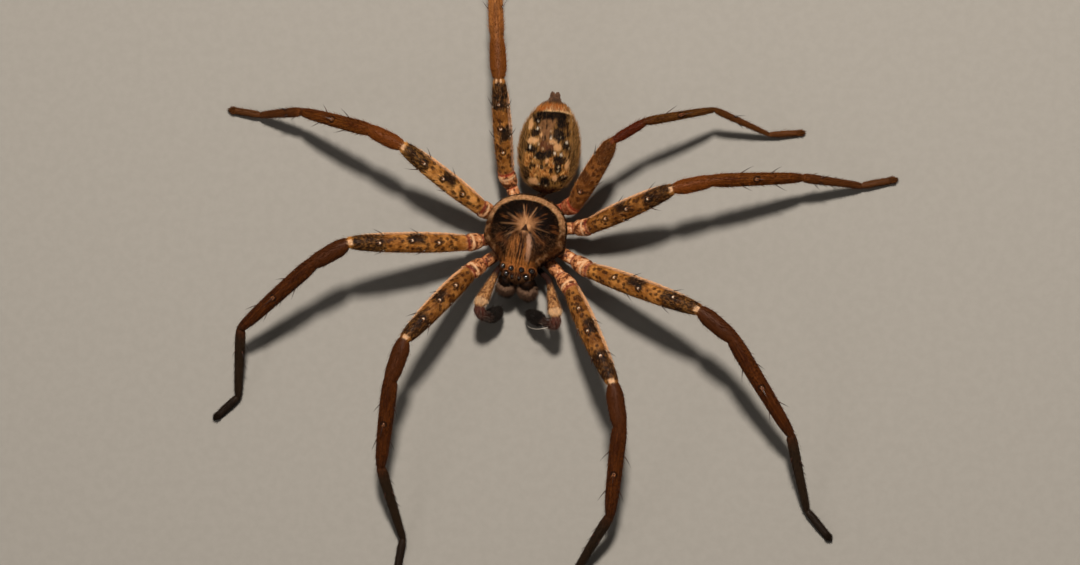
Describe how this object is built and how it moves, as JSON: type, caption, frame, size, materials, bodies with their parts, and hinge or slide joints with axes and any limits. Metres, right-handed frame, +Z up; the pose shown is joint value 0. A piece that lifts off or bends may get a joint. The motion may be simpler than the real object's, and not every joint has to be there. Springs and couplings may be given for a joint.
{
  "type": "huntsman spider model",
  "caption": "Life-size model of a large brown huntsman spider standing flat with its legs spread sideways, mottled body and banded hairy legs.",
  "frame": {"origin": "middle of the whole animal's box, on the floor that its feet stand on", "axes": "+Z up, out of the back; the animal faces -Y, turned 11 degrees towards -X; its left legs are on the +X side"},
  "size_m": [0.0838, 0.0936, 0.013],
  "materials": {
    "carapace": "dark brown cuticle with short orange-brown and grey hair",
    "abdomen": "velvety, mottled black, ochre and cream",
    "leg": "hairy, tan thighs with dark spots, red-brown shanks, black feet",
    "palp": "hairy, pale tan with black tips",
    "jaw": "satin dark brown with pale hair tufts",
    "fang": "glossy black-brown horn",
    "eye": "wet gloss black",
    "underside": "matt brown cuticle with fine hair"
  },
  "bodies": {
    "root": {"carapace": "carapace", "sternum": "underside", "abdomen": "abdomen", "pedicel": "underside", "spinnerets": "abdomen", "chelicera_left": "jaw", "fang_left": "fang", "endite_left": "underside", "palp_left_femur": "palp", "palp_left_tibia": "palp", "palp_left_tarsus": "palp", "chelicera_right": "jaw", "fang_right": "fang", "endite_right": "underside", "palp_right_femur": "palp", "palp_right_tibia": "palp", "palp_right_tarsus": "palp", "leg_left_1_femur": "leg", "leg_left_1_tibia": "leg", "leg_left_1_metatarsus": "leg", "leg_left_1_tarsus": "leg", "leg_left_2_femur": "leg", "leg_left_2_tibia": "leg", "leg_left_2_metatarsus": "leg", "leg_left_2_tarsus": "leg", "leg_left_3_femur": "leg", "leg_left_3_tibia": "leg", "leg_left_3_metatarsus": "leg", "leg_left_3_tarsus": "leg", "leg_left_4_femur": "leg", "leg_left_4_tibia": "leg", "leg_left_4_metatarsus": "leg", "leg_left_4_tarsus": "leg", "leg_right_1_femur": "leg", "leg_right_1_tibia": "leg", "leg_right_1_metatarsus": "leg", "leg_right_1_tarsus": "leg", "leg_right_2_femur": "leg", "leg_right_2_tibia": "leg", "leg_right_2_metatarsus": "leg", "leg_right_2_tarsus": "leg", "leg_right_3_femur": "leg", "leg_right_3_tibia": "leg", "leg_right_3_metatarsus": "leg", "leg_right_3_tarsus": "leg", "leg_right_4_femur": "leg", "leg_right_4_tibia": "leg", "leg_right_4_metatarsus": "leg", "leg_right_4_tarsus": "leg", "eye_front_middle_left": "eye", "eye_front_middle_right": "eye", "eye_front_side_left": "eye", "eye_front_side_right": "eye", "eye_rear_middle_left": "eye", "eye_rear_middle_right": "eye", "eye_rear_side_left": "eye", "eye_rear_side_right": "eye"}
  },
  "joints": []
}
